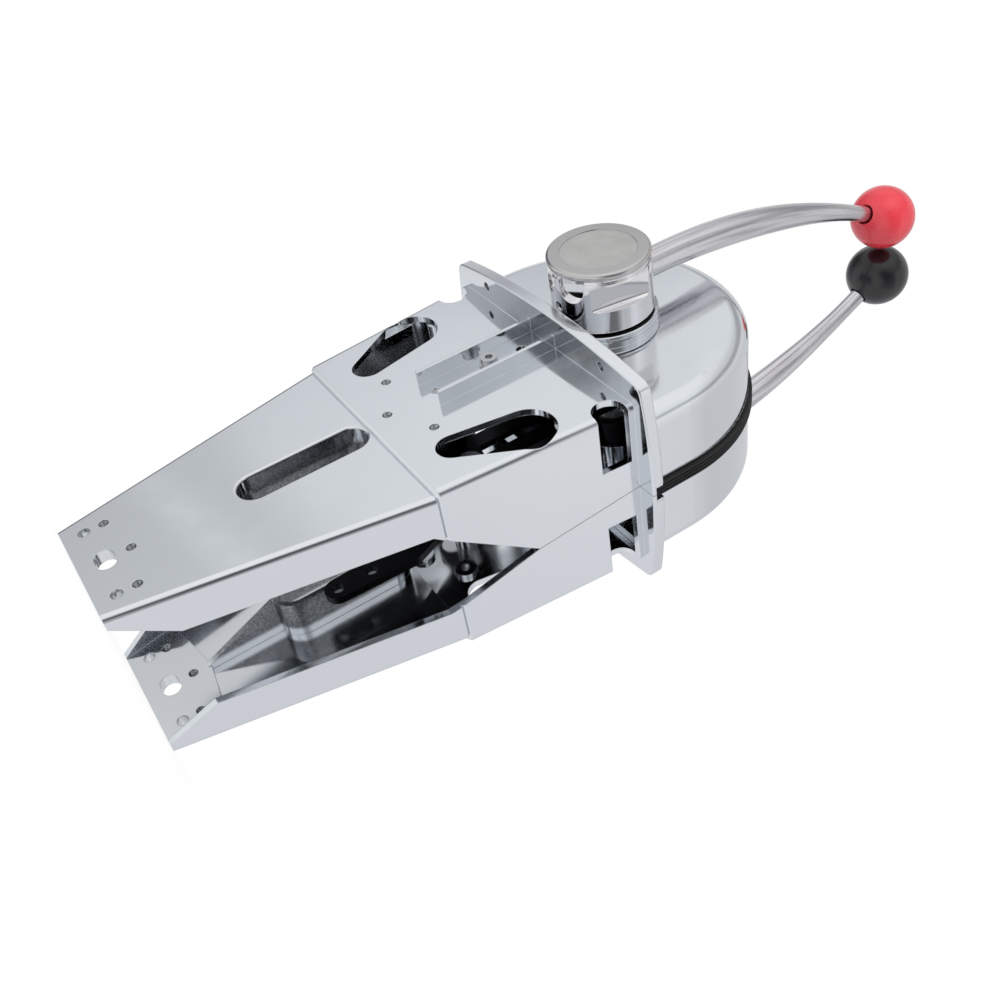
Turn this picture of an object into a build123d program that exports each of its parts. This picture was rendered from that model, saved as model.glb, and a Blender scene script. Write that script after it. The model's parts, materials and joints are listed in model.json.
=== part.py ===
"""Top-mount twin-lever boat control: two chromed housing halves, two hub-mounted levers,
and inside them the cranks, links and cable arms that carry the lever movement down to the cables.

Units are millimetres. +Z points up through the dome, X is the axis of the lever shafts and the
origin is the centre of the flange underside, which is the face that seats on the console.
Every piece is built for the throttle side (+X). The shift side is the same piece turned half a
turn about Z, because the two halves are one casting used twice.
"""

import os
from math import asin, cos, degrees, radians, sin

from build123d import *

os.makedirs("parts", exist_ok=True)

# ---- Driving dimensions ----

# Dome
dome_half = 42.0
dome_r = 77.5
dome_z = 26.5
dome_edge_r = 8.5
dome_face_wall = 3.0
dome_rim_wall = 4.5
shaft_z = 37.0

# Flange
flange_thick = 6.5
flange_end_lip = 3.7
flange_side_lip = 17.2
flange_corner_step_x = 6.6
flange_corner_step_y = 5.8
flange_corner_r = 6.0
flange_hole_inset = 8.7
flange_hole_y = 47.9
flange_hole_r = 2.2
flange_edge_r = 0.8

# Shoulder and arm below the flange
plate_wall = 3.5
shoulder_proud = 5.8
shoulder_inset = 6.2
waist_step = 9.0
waist_z = -97.0
arm_step = 3.0
arm_end_step = 28.9
arm_end_z = -235.6
long_edge_r = 3.0
step_chamfer = 1.6

# Edge of the side walls along the mouth between the halves
split_drift_x = 9.3
split_end_z = -54.6
parting_gap = 0.15
mouth_depth = 20.8
mouth_top_z = -102.0
mouth_foot_z = -210.0
pad_thick = 6.0

# Hubs
hub_r = 25.2
hub_stand = 8.0
hub_height = 27.5
hub_top_step = 1.6
cap_thick = 4.0
cap_edge_r = 1.6
disc_r = 18.5
disc_recess = 0.9
flat_height = 16.0
flat_angle = -10.0
flat_reach = 20.0
flat_corner_r = 1.5
flute_r = 6.8
flute_drop = 5.0
flute_depth = 2.6
collar_r = 27.0
collar_proud = 4.5
hub_seal_thick = 1.6

# Shafts, rods and knobs
shaft_r = 8.0
shaft_cover = 5.5
set_screw_r = 2.5
rod_height = 10.9
rod_r = 7.25
rod_tip_r = 4.6
rod_stud_r = 4.0
rod_foot_z = 52.0
rod_share = 0.93
stud_len = 12.0
bend_start_z = 70.0
knob_z = 231.5
knob_r = 17.5
knob_gap = 2.4

# Linkage
crank_reach = 22.0
crank_plate_x = 14.0
crank_plate_thick = 4.0
link_thick = 3.7
link_end_r = 8.0
link_width = 10.0
pivot_z = -60.0
pivot_r = 5.0
post_r = 7.0
arm_pivot_r = 11.0
arm_hub_thick = 6.0
arm_side_y = -21.2
arm_elbow_z = -101.0
arm_elbow_r = 8.0
arm_tip_z = -138.7
arm_tip_r = 6.5
cable_hole_r = 3.05
cable_hole_step = 18.0
pin_r = 4.0

# Clearances
running = 0.05
side_gap = 0.3
body_gap = 0.4

# Shaft bearing, friction brake and neutral detent
bush_r = 11.0
bush_len = 20.0
crank_hub_r = 13.0
friction_boss_depth = 10.3
friction_screw_r = 3.0
leaf_thick = 1.5
leaf_foot_z = -39.0
leaf_drop = 21.5
detent_back_x = 22.0
detent_thick = 3.0
detent_disc_r = 24.0
detent_ball_r = 3.0
detent_pin_r = 4.0
detent_step = 30.0
detent_span = 52.0
lug_height = 13.0

# Holes in the arm end
clamp_hole_y = 23.5
clamp_hole_z = -226.0
clamp_hole_r = 2.8
tap_r = 2.3
end_tap_z = -217.0
end_mid_tap_z = -212.0
end_slot_z = -223.5

# Seal
seal_half = 5.0
seal_foot_z = 2.0
seal_seat = 2.0
seal_proud = 3.0
seal_groove_depth = 0.9
seal_groove_width = 1.2

# ---- Worked-out values ----

flange_mid_y = dome_r + flange_end_lip
flange_corner_y = flange_mid_y - flange_corner_step_y
shoulder_x = dome_half + shoulder_proud
flange_mid_x = shoulder_x + flange_side_lip
flange_corner_x = flange_mid_x - flange_corner_step_x
flange_hole_x = flange_mid_x - flange_hole_inset
shoulder_y = dome_r - shoulder_inset
waist_y = shoulder_y - waist_step
arm_x = shoulder_x - arm_step
arm_end_y = waist_y - arm_end_step
pad_x = arm_x - pad_thick
mouth_x = arm_x - mouth_depth

hub_foot_x = dome_half + hub_stand
hub_top_x = hub_foot_x + hub_height
cap_top_x = hub_top_x + cap_thick
flat_x = hub_top_x - flat_height
flat_top_x = hub_top_x - hub_top_step - 1.0
flute_x = hub_top_x - flute_drop
shaft_end_x = hub_top_x - shaft_cover
rod_x = hub_foot_x + rod_height
knob_x = knob_r + knob_gap / 2
bend_offset = rod_x - knob_x
bend_rise = knob_z - bend_start_z
bend_r = (bend_offset ** 2 + bend_rise ** 2) / (2 * bend_offset)
bend_angle = degrees(asin(bend_rise / bend_r))

crank_face_x = crank_plate_x + crank_plate_thick
link_top_x = crank_plate_x - side_gap
link_foot_x = link_top_x - link_thick
bush_flange_x = dome_half + collar_proud
bush_top_x = bush_flange_x + 1.5
bush_foot_x = bush_top_x - bush_len
friction_boss_x = shoulder_x - friction_boss_depth
leaf_x = friction_boss_x - leaf_thick
leaf_top_z = shaft_z - leaf_drop
detent_x = detent_thick / 2 - detent_back_x
detent_ball_z = shaft_z + detent_disc_r + side_gap + detent_ball_r
lug_foot_z = detent_ball_z + 1.7
lug_top_z = lug_foot_z + lug_height

seal_base_r = dome_r - seal_seat
seal_top_r = dome_r + seal_proud


def rim_profile(radius, foot_z):
    """Half-round arch on two straight legs, in the Y-Z plane."""
    with BuildSketch() as arch:
        with BuildLine():
            Polyline((-radius, dome_z), (-radius, foot_z), (radius, foot_z), (radius, dome_z))
            ThreePointArc((radius, dome_z), (0, dome_z + radius), (-radius, dome_z))
        make_face()
    return arch.sketch


def leg_y(z, inset):
    """Half width of the tapering body at height z, less a wall."""
    if z > waist_z:
        return waist_y + (shoulder_y - waist_y) * (z - waist_z) / -waist_z - inset
    return waist_y - (waist_y - arm_end_y) * (waist_z - z) / (waist_z - arm_end_z) - inset


def taper_profile(top_z, foot_z, inset):
    """Trapezium of the body between two heights, in the Y-Z plane."""
    top = leg_y(top_z, inset)
    foot = leg_y(foot_z, inset)
    with BuildSketch() as outline:
        with BuildLine():
            Polyline((-top, top_z), (top, top_z), (foot, foot_z), (-foot, foot_z), close=True)
        make_face()
    return outline.sketch


def mouth_profile(drift):
    """Everything on the open side of a wall edge, in the X-Z plane."""
    back = -2 * split_drift_x
    with BuildSketch() as opening:
        with BuildLine():
            Polyline(
                (back, 0),
                (parting_gap, 0),
                (drift + parting_gap, split_end_z),
                (mouth_x, mouth_top_z),
                (mouth_x, mouth_foot_z),
                (pad_x, arm_end_z - 1),
                (back, arm_end_z - 1),
                close=True,
            )
        make_face()
    return opening.sketch


def at_x(x):
    """Plane square to the lever shafts, at distance x from the middle."""
    return Plane.YZ.offset(x)


def save(part, name):
    part.label = name
    export_step(part, f"parts/{name}.step")


def save_pair(part, name):
    """Write the throttle piece and the same piece turned round for the shift side."""
    save(part, f"{name}_throttle")
    save(part.rotate(Axis.Z, 180), f"{name}_shift")


# ---- Housing half ----

tie_ring_r = dome_r - 14.5
tie_top_angle = 34.3
tie_top_y = tie_ring_r * cos(radians(tie_top_angle))
tie_top_z = dome_z + tie_ring_r * sin(radians(tie_top_angle))
tie_top = [(-tie_top_y, tie_top_z), (tie_top_y, tie_top_z)]
tie_low_y = shoulder_y - 13.8
tie_low_z = -25.0
tie_low = [(-tie_low_y, tie_low_z), (tie_low_y, tie_low_z)]
tie_boss_r = 7.0
tie_hole_r = 2.55
tie_head_r = 4.6
tie_head_depth = 4.5

rail_y = 10.2
rail_thick = 2.0
rail_height = 7.0
rail_len = 63.5
rail_screw_z = -30.0
rail_hole_z = -12.0

pivot_boss_x = shoulder_x - 9.8
spare_boss_x = shoulder_x - 5.8
spare_holes = [(0, -86.3), (-23.0, -74.5), (23.0, -74.5)]

slot_r = 8.5
slot_top_z = -106.8
slot_foot_z = -154.0
slot_rim = 3.0
slot_rim_x = arm_x - 23.8
slot_edge_r = 1.2

corner_window_x = 16.8
corner_window_z = -10.75
corner_window_r = 7.75

pad_side_z = -209.0
pad_tip_z = -203.0

with BuildPart() as dome_skin:
    with BuildSketch(Plane.YZ):
        add(rim_profile(dome_r, 0))
    extrude(amount=dome_half)
    outer_edges = dome_skin.faces().sort_by(Axis.X)[-1].edges()
    fillet(outer_edges.filter_by(lambda edge: edge.center().Z > 1), radius=dome_edge_r)

with BuildPart() as dome_room:
    with BuildSketch(Plane.YZ):
        add(rim_profile(dome_r - dome_rim_wall, flange_thick))
    extrude(amount=dome_half - dome_face_wall)
    room_edges = dome_room.faces().sort_by(Axis.X)[-1].edges()
    fillet(room_edges.filter_by(lambda edge: edge.center().Z > flange_thick + 1), radius=dome_edge_r - 3.5)

with BuildPart() as shoulder:
    with BuildSketch(at_x(-split_drift_x)):
        add(taper_profile(0, waist_z, 0))
    extrude(amount=shoulder_x + split_drift_x)
    face_edges = shoulder.faces().sort_by(Axis.X)[-1].edges()
    fillet(face_edges.filter_by(lambda edge: abs(edge.center().Y) > 10), radius=long_edge_r)
    chamfer(shoulder.faces().sort_by(Axis.X)[-1].edges().sort_by(Axis.Z)[0], length=step_chamfer)

with BuildPart() as arm_block:
    with BuildSketch(at_x(-split_drift_x)):
        add(taper_profile(waist_z, arm_end_z, 0))
    extrude(amount=arm_x + split_drift_x)
    long_edges = arm_block.faces().sort_by(Axis.X)[-1].edges()
    fillet(long_edges.filter_by(lambda edge: abs(edge.center().Y) > 10), radius=long_edge_r)

with BuildPart() as half:
    # Flange with bowed edges
    with BuildSketch() as flange_outline:
        bow_y = (flange_mid_y * 3 + flange_corner_y) / 4
        with BuildLine():
            Line((0, -flange_mid_y), (0, flange_mid_y))
            ThreePointArc((0, flange_mid_y), (flange_corner_x / 2, bow_y), (flange_corner_x, flange_corner_y))
            ThreePointArc((flange_corner_x, flange_corner_y), (flange_mid_x, 0),
                          (flange_corner_x, -flange_corner_y))
            ThreePointArc((flange_corner_x, -flange_corner_y), (flange_corner_x / 2, -bow_y),
                          (0, -flange_mid_y))
        make_face()
        fillet(flange_outline.vertices().group_by(Axis.X)[-1], radius=flange_corner_r)
    extrude(amount=flange_thick)
    flange_rims = half.edges().filter_by(Plane.XY).filter_by(lambda edge: edge.center().X > 1)
    fillet(flange_rims, radius=flange_edge_r)
    add(dome_skin.part)
    add(shoulder.part)
    add(arm_block.part)

    # Hollow the dome, the flange and the body
    add(dome_room.part, mode=Mode.SUBTRACT)
    with BuildSketch(at_x(-split_drift_x)):
        add(taper_profile(0, waist_z + plate_wall / 2, plate_wall))
        with BuildLine():
            throat = leg_y(0, plate_wall)
            Polyline((-throat, 0), (-throat, flange_thick), (throat, flange_thick), (throat, 0), close=True)
        make_face()
    extrude(amount=dome_half - dome_face_wall + split_drift_x, mode=Mode.SUBTRACT)
    with BuildSketch(at_x(-split_drift_x)):
        add(taper_profile(0, waist_z + plate_wall / 2, plate_wall))
    extrude(amount=shoulder_x - plate_wall + split_drift_x, mode=Mode.SUBTRACT)
    with BuildSketch(at_x(-split_drift_x)):
        add(taper_profile(waist_z + plate_wall, arm_end_z - 1, plate_wall))
    extrude(amount=arm_x - plate_wall + split_drift_x, mode=Mode.SUBTRACT)

    # Parting face of the dome and the flange
    with BuildSketch(at_x(-1)):
        with Locations((0, 2 * dome_r)):
            Rectangle(3 * dome_r, 4 * dome_r)
    extrude(amount=1 + parting_gap, mode=Mode.SUBTRACT)

    # Wall edges along the mouth: the front wall reaches past the middle, the back wall stops short
    with BuildSketch(Plane.XZ):
        add(mouth_profile(-split_drift_x))
    extrude(amount=-2 * shoulder_y, mode=Mode.SUBTRACT)
    with BuildSketch(Plane.XZ):
        add(mouth_profile(split_drift_x))
    extrude(amount=2 * shoulder_y, mode=Mode.SUBTRACT)

    # Thick pad at the arm end, with a shallow V edge towards the slot
    pad_half = leg_y(pad_side_z, 1)
    end_half = leg_y(arm_end_z, 1)
    with BuildSketch(at_x(pad_x)):
        with BuildLine():
            Polyline((-end_half, arm_end_z), (-pad_half, pad_side_z), (0, pad_tip_z), (pad_half, pad_side_z),
                     (end_half, arm_end_z), close=True)
        make_face()
    extrude(amount=arm_x - pad_x - 1)

    # Deep rim round the long slot and the gusset from it to the pad
    slot_mid_z = (slot_top_z + slot_foot_z) / 2
    with BuildSketch(at_x(slot_rim_x)):
        with Locations((0, slot_mid_z)):
            SlotCenterToCenter(slot_top_z - slot_foot_z, 2 * (slot_r + slot_rim), rotation=90)
    extrude(amount=arm_x - slot_rim_x - 1)
    with BuildSketch(Plane.XZ):
        with BuildLine():
            Polyline((arm_x - 2, pad_tip_z - 2), (pad_x, pad_tip_z - 2), (slot_rim_x, slot_foot_z - slot_r - slot_rim),
                     (slot_rim_x, slot_foot_z - slot_r - 1), (arm_x - 2, slot_foot_z - slot_r - 1), close=True)
        make_face()
    extrude(amount=1.5, both=True)
    with BuildSketch(at_x(slot_rim_x - 1)):
        with Locations((0, slot_mid_z)):
            SlotCenterToCenter(slot_top_z - slot_foot_z, 2 * slot_r, rotation=90)
    extrude(amount=arm_x - slot_rim_x + 2, mode=Mode.SUBTRACT)
    slot_lips = half.edges().filter_by(lambda edge: abs(edge.center().X - arm_x) < 0.01
                                       and abs(edge.center().Y) < slot_r + 0.5
                                       and abs(edge.center().Z - slot_mid_z) < slot_top_z - slot_mid_z + slot_r)
    fillet(slot_lips, radius=slot_edge_r)

    # Bosses inside the shoulder: a deep one for the cable arm pivot and three low spare ones
    with BuildSketch(at_x(pivot_boss_x)):
        with Locations((0, pivot_z)):
            Circle(6.5)
    extrude(amount=shoulder_x - pivot_boss_x - 1)
    with BuildSketch(at_x(spare_boss_x)):
        with Locations(*spare_holes):
            Circle(5.8)
    extrude(amount=shoulder_x - spare_boss_x - 1)
    with BuildSketch(at_x(pivot_boss_x - 1)):
        with Locations((0, pivot_z), *spare_holes):
            Circle(tap_r)
    extrude(amount=shoulder_x - pivot_boss_x + 2, mode=Mode.SUBTRACT)

    # Tie bosses that meet at the middle
    with BuildSketch(at_x(0)):
        with Locations(*tie_top):
            Circle(tie_boss_r)
    extrude(amount=dome_half - 1)
    with BuildSketch(at_x(0)):
        with Locations(*tie_low):
            Circle(tie_boss_r)
    extrude(amount=shoulder_x - 1)
    with BuildSketch(at_x(0)):
        with Locations(*tie_top, *tie_low):
            Circle(tie_hole_r)
    extrude(amount=dome_half - 8, mode=Mode.SUBTRACT)

    # Shaft boss through the dome face
    with BuildSketch(at_x(bush_foot_x)):
        with Locations((0, shaft_z)):
            Circle(bush_r + 5)
    extrude(amount=dome_half - bush_foot_x)
    with BuildSketch(at_x(dome_half - 1)):
        with Locations((0, shaft_z)):
            Circle(collar_r)
    extrude(amount=collar_proud + 1)
    boss_rims = half.edges().filter_by(GeomType.CIRCLE)
    fillet(boss_rims.filter_by(lambda edge: abs(edge.radius - collar_r) < 0.01
                               and edge.center().X > dome_half + 1), radius=1.5)
    with BuildSketch(at_x(bush_foot_x - 1)):
        with Locations((0, shaft_z)):
            Circle(bush_r)
    extrude(amount=bush_len + 2, mode=Mode.SUBTRACT)

    # Raised rails and the tapped holes between them
    with BuildSketch(at_x(shoulder_x - 1)):
        with Locations((-rail_y, -rail_len / 2), (rail_y, -rail_len / 2)):
            Rectangle(rail_thick, rail_len)
    extrude(amount=rail_height + 1)
    with BuildSketch(at_x(friction_boss_x)):
        with Locations((0, rail_screw_z)):
            Circle(8.0)
    extrude(amount=shoulder_x - friction_boss_x - 1)
    with BuildSketch(at_x(friction_boss_x - 1)):
        with Locations((0, rail_screw_z)):
            Circle(friction_screw_r)
    extrude(amount=shoulder_x, mode=Mode.SUBTRACT)
    with BuildSketch(at_x(shoulder_x - plate_wall - 1)):
        with Locations((0, rail_hole_z)):
            Circle(2.6)
    extrude(amount=plate_wall + 2, mode=Mode.SUBTRACT)

    # Teardrop windows in the shoulder face
    for hand in (-1, 1):
        with BuildSketch(at_x(shoulder_x - plate_wall - 1)):
            with Locations((hand * (shoulder_y - 18.8), -44.5)):
                Circle(14.0)
            with Locations((hand * (shoulder_y - 30.8), -75.0)):
                Circle(8.0)
            make_hull()
        extrude(amount=plate_wall + 2, mode=Mode.SUBTRACT)

    # Corner windows that reach the flange screws
    for hand in (-1, 1):
        with BuildSketch(at_x(corner_window_x)):
            with Locations((hand * (shoulder_y - 4.3), corner_window_z)):
                Circle(corner_window_r)
            with Locations((hand * (shoulder_y + 5.7), corner_window_z)):
                Rectangle(20.0, 2 * corner_window_r)
        extrude(amount=shoulder_x, mode=Mode.SUBTRACT)

    # Flange screw holes and the cable clamp holes in the arm end
    with BuildSketch(Plane.XY.offset(-1)):
        with Locations((flange_hole_x, -flange_hole_y), (flange_hole_x, flange_hole_y)):
            Circle(flange_hole_r)
    extrude(amount=flange_thick + 2, mode=Mode.SUBTRACT)
    with BuildSketch(at_x(pad_x - 1)):
        with Locations((-clamp_hole_y, clamp_hole_z), (clamp_hole_y, clamp_hole_z)):
            Circle(clamp_hole_r)
        with Locations((-clamp_hole_y, end_tap_z), (clamp_hole_y, end_tap_z), (0, end_mid_tap_z)):
            Circle(tap_r)
        with Locations((0, end_slot_z)):
            SlotOverall(13.0, 9.0)
    extrude(amount=arm_x - pad_x + 2, mode=Mode.SUBTRACT)

    # Rebate for the rim seal
    with BuildSketch(at_x(-1)):
        add(rim_profile(flange_mid_y + 10, seal_foot_z))
        add(rim_profile(seal_base_r, seal_foot_z - 1), mode=Mode.SUBTRACT)
    extrude(amount=seal_half + 1, mode=Mode.SUBTRACT)

with BuildPart() as housing_throttle:
    add(half.part)

with BuildPart() as housing_shift:
    add(half.part.rotate(Axis.Z, 180))
    # Counterbores for the heads of the tie bolts
    for face_x, ties in ((dome_half, tie_top), (shoulder_x, tie_low)):
        with BuildSketch(at_x(-face_x - 1)):
            with Locations(*ties):
                Circle(tie_head_r)
        extrude(amount=tie_head_depth + 1, mode=Mode.SUBTRACT)
        with BuildSketch(at_x(-face_x)):
            with Locations(*ties):
                Circle(tie_hole_r)
        extrude(amount=face_x, mode=Mode.SUBTRACT)
    # Lug that holds the neutral detent over the shift crank
    with BuildSketch(Plane.XY.offset(lug_foot_z)):
        with Locations((2 - dome_half, 0)):
            Rectangle(dome_half - 2 + detent_x + 3.5, 15.0, align=(Align.MIN, Align.CENTER))
    extrude(amount=lug_height)
    with BuildSketch(Plane.XY.offset(lug_foot_z - 1)):
        with Locations((detent_x, 0)):
            Circle(detent_pin_r)
    extrude(amount=lug_height + 2, mode=Mode.SUBTRACT)

save(housing_throttle.part, "housing_throttle")
save(housing_shift.part, "housing_shift")

# ---- Pieces fixed to the housing ----

with BuildPart() as rim_seal:
    with BuildSketch(at_x(-seal_half)):
        add(rim_profile(seal_top_r, seal_foot_z))
        add(rim_profile(seal_base_r, seal_foot_z - 1), mode=Mode.SUBTRACT)
    extrude(amount=2 * seal_half)
    for groove_x in (-seal_half / 2, 0, seal_half / 2):
        with BuildSketch(at_x(groove_x - seal_groove_width / 2)):
            add(rim_profile(seal_top_r + 1, seal_foot_z - 1))
            add(rim_profile(seal_top_r - seal_groove_depth, seal_foot_z - 2), mode=Mode.SUBTRACT)
        extrude(amount=seal_groove_width, mode=Mode.SUBTRACT)
save(rim_seal.part, "rim_seal")

with BuildPart() as tie_bolts:
    for face_x, ties in ((dome_half, tie_top), (shoulder_x, tie_low)):
        seat_x = tie_head_depth - face_x
        with BuildSketch(at_x(seat_x - 3.8)):
            with Locations(*ties):
                Circle(4.3)
                RegularPolygon(2.3, 6, mode=Mode.SUBTRACT)
        extrude(amount=3.0)
        with BuildSketch(at_x(seat_x - 0.8)):
            with Locations(*ties):
                Circle(4.3)
        extrude(amount=0.8)
        with BuildSketch(at_x(seat_x)):
            with Locations(*ties):
                Circle(tie_hole_r)
        extrude(amount=dome_half - 12 - seat_x)
save(tie_bolts.part, "tie_bolts")

with BuildPart() as shaft_bush:
    with BuildSketch(at_x(bush_foot_x)):
        with Locations((0, shaft_z)):
            Circle(bush_r)
            Circle(shaft_r + running, mode=Mode.SUBTRACT)
    extrude(amount=bush_len)
    with BuildSketch(at_x(bush_flange_x)):
        with Locations((0, shaft_z)):
            Circle(bush_r + 3)
            Circle(shaft_r + running, mode=Mode.SUBTRACT)
    extrude(amount=bush_top_x - bush_flange_x)
save_pair(shaft_bush.part, "shaft_bush")

with BuildPart() as friction_screw:
    with BuildSketch(at_x(leaf_x - 2.0)):
        with Locations((0, rail_screw_z)):
            Circle(friction_screw_r)
    extrude(amount=shoulder_x + 4.5 - leaf_x)
    with BuildSketch(at_x(shoulder_x)):
        with Locations((0, rail_screw_z)):
            Circle(5.0)
    extrude(amount=1.0)
    with BuildSketch(at_x(shoulder_x + 1.0)):
        with Locations((0, rail_screw_z)):
            Circle(4.0)
            RegularPolygon(2.0, 6, mode=Mode.SUBTRACT)
    extrude(amount=3.5, mode=Mode.ADD)
    with BuildSketch(at_x(shoulder_x + 2.5)):
        with Locations((0, rail_screw_z)):
            RegularPolygon(2.0, 6)
    extrude(amount=2.5, mode=Mode.SUBTRACT)
save_pair(friction_screw.part, "friction_screw")

with BuildPart() as friction_leaf:
    with BuildSketch(Plane.XZ):
        with BuildLine():
            FilletPolyline((leaf_x, leaf_foot_z), (leaf_x, leaf_top_z), (crank_face_x + 1, leaf_top_z), radius=4.0)
            offset(amount=leaf_thick, side=Side.LEFT)
        make_face()
    extrude(amount=8.0, both=True)
    with BuildSketch(at_x(leaf_x - 3)):
        with Locations((0, rail_screw_z)):
            Circle(friction_screw_r)
    extrude(amount=6.0, mode=Mode.SUBTRACT)
save_pair(friction_leaf.part, "friction_leaf")

with BuildPart() as friction_pad:
    with BuildSketch(Plane.XY.offset(leaf_top_z + leaf_thick)):
        with Locations(((crank_face_x + bush_foot_x) / 2, 0)):
            Rectangle(7.4, 13.0)
    extrude(amount=leaf_drop - crank_hub_r - side_gap - leaf_thick)
save_pair(friction_pad.part, "friction_pad")

with BuildPart() as pivot_post:
    for start, end, radius in (
        (pivot_boss_x, shoulder_x - 0.5, tap_r),
        (crank_face_x + arm_hub_thick + body_gap, pivot_boss_x, post_r),
        (crank_plate_x - body_gap - 2.4, crank_face_x + arm_hub_thick + body_gap, pivot_r),
    ):
        with BuildSketch(at_x(start)):
            with Locations((0, pivot_z)):
                Circle(radius)
        extrude(amount=end - start)
save_pair(pivot_post.part, "pivot_post")

with BuildPart() as pivot_clip:
    with BuildSketch(at_x(crank_plate_x - body_gap - 1.2)):
        with Locations((0, pivot_z)):
            Circle(8.0)
            Circle(pivot_r, mode=Mode.SUBTRACT)
    extrude(amount=1.2)
save_pair(pivot_clip.part, "pivot_clip")

with BuildPart() as detent_plunger:
    with Locations((detent_x, 0, detent_ball_z)):
        Sphere(detent_ball_r)
    with BuildSketch(Plane.XY.offset(detent_ball_z)):
        with Locations((detent_x, 0)):
            Circle(detent_ball_r)
    extrude(amount=3.0)
    with BuildSketch(Plane.XY.offset(lug_foot_z + 1)):
        with Locations((detent_x, 0)):
            Circle(detent_pin_r)
    extrude(amount=lug_height - 4.0)
save(detent_plunger.part, "detent_plunger")

with BuildPart() as detent_plug:
    with BuildSketch(Plane.XY.offset(lug_top_z - 3.0)):
        with Locations((detent_x, 0)):
            Circle(detent_pin_r)
    extrude(amount=4.0)
    with BuildSketch(Plane.XY.offset(lug_top_z)):
        with Locations((detent_x, 0)):
            RegularPolygon(6.0, 6)
    extrude(amount=4.0)
save(detent_plug.part, "detent_plug")

# ---- Lever: hub, cap, rod, knob, shaft and crank ----

with BuildPart() as flat_cutter:
    with BuildSketch(Plane.XY.offset(shaft_z - 30)):
        with Locations(((flat_x + flat_top_x) / 2, flat_reach + 10)):
            RectangleRounded(flat_top_x - flat_x, 20.0, flat_corner_r)
    extrude(amount=60)

with BuildPart() as hub:
    with BuildSketch(at_x(hub_foot_x)):
        with Locations((0, shaft_z)):
            Circle(hub_r)
    extrude(amount=hub_height - hub_top_step)
    with BuildSketch(at_x(hub_top_x - hub_top_step)):
        with Locations((0, shaft_z)):
            Circle(hub_r - 1.4)
    extrude(amount=hub_top_step)
    # Scooped flats on both flanks
    for angle in (flat_angle, 180 - flat_angle):
        add(flat_cutter.part.rotate(Axis((0, 0, shaft_z), (1, 0, 0)), angle), mode=Mode.SUBTRACT)
    # Round-ended flutes under the cap
    for angle in (-70.0, -110.0):
        flute_dir = (0, cos(radians(angle)), sin(radians(angle)))
        flute_plane = Plane(origin=(flute_x, 0, shaft_z), x_dir=(1, 0, 0), z_dir=flute_dir)
        with BuildSketch(flute_plane.offset(hub_r - flute_depth)):
            Circle(flute_r)
            with Locations((6.0, 0)):
                Rectangle(12.0, 2 * flute_r)
        extrude(amount=6.0, mode=Mode.SUBTRACT)
    # Bores for the shaft, the rod and the set screw
    with BuildSketch(at_x(hub_foot_x - 1)):
        with Locations((0, shaft_z)):
            Circle(shaft_r)
    extrude(amount=shaft_end_x - hub_foot_x + 1, mode=Mode.SUBTRACT)
    with BuildSketch(Plane.XY.offset(rod_foot_z)):
        with Locations((rod_x, 0)):
            Circle(rod_r)
    extrude(amount=hub_r, mode=Mode.SUBTRACT)
    with BuildSketch(Plane.XY.offset(shaft_z - hub_r - 1)):
        with Locations((rod_x, 0)):
            Circle(set_screw_r)
    extrude(amount=hub_r - shaft_r + 1, mode=Mode.SUBTRACT)
save_pair(hub.part, "hub")

with BuildPart() as hub_cap:
    with BuildSketch(at_x(hub_top_x)):
        with Locations((0, shaft_z)):
            Circle(hub_r)
    extrude(amount=cap_thick)
    fillet(hub_cap.edges(), radius=cap_edge_r)
    with BuildSketch(at_x(cap_top_x - disc_recess)):
        with Locations((0, shaft_z)):
            Circle(disc_r)
    extrude(amount=2.0, mode=Mode.SUBTRACT)
save_pair(hub_cap.part, "hub_cap")

with BuildPart() as cap_disc:
    with BuildSketch(at_x(cap_top_x - disc_recess)):
        with Locations((0, shaft_z)):
            Circle(disc_r)
    extrude(amount=0.6)
save_pair(cap_disc.part, "cap_disc")

with BuildPart() as hub_seal:
    with BuildSketch(at_x(hub_foot_x - hub_seal_thick)):
        with Locations((0, shaft_z)):
            Circle(hub_r - 0.3)
            Circle(hub_r - 5.0, mode=Mode.SUBTRACT)
    extrude(amount=hub_seal_thick)
save_pair(hub_seal.part, "hub_seal")

with BuildPart() as set_screw:
    with BuildSketch(Plane.XY.offset(shaft_z - hub_r + 0.8)):
        with Locations((rod_x, 0)):
            Circle(set_screw_r)
            RegularPolygon(1.5, 6, mode=Mode.SUBTRACT)
    extrude(amount=3.0)
    with BuildSketch(Plane.XY.offset(shaft_z - hub_r + 3.8)):
        with Locations((rod_x, 0)):
            Circle(set_screw_r)
    extrude(amount=hub_r - shaft_r - 3.8)
save_pair(set_screw.part, "set_screw")

with BuildPart() as lever_rod:
    with BuildSketch(Plane.XY.offset(rod_foot_z)):
        with Locations((rod_x, 0)):
            Circle(rod_r)
    extrude(amount=bend_start_z - rod_foot_z)
    with BuildLine() as bend:
        bend_mid = bend_angle * rod_share / 2
        bend_end = bend_angle * rod_share
        ThreePointArc(*[(rod_x - bend_r * (1 - cos(radians(turn))), 0, bend_start_z + bend_r * sin(radians(turn)))
                        for turn in (0, bend_mid, bend_end)])
    for share, radius in ((0, rod_r), (0.42, rod_r), (0.62, 6.1), (0.85, rod_tip_r), (1, rod_tip_r)):
        with BuildSketch(Plane(bend.wire().position_at(share), z_dir=bend.wire().tangent_at(share))):
            Circle(radius)
    sweep(path=bend.wire(), multisection=True)
    rod_end = Plane(bend.wire().position_at(1), z_dir=bend.wire().tangent_at(1))
    with BuildSketch(rod_end):
        Circle(rod_stud_r)
    extrude(amount=stud_len)
save_pair(lever_rod.part, "lever_rod")

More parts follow.
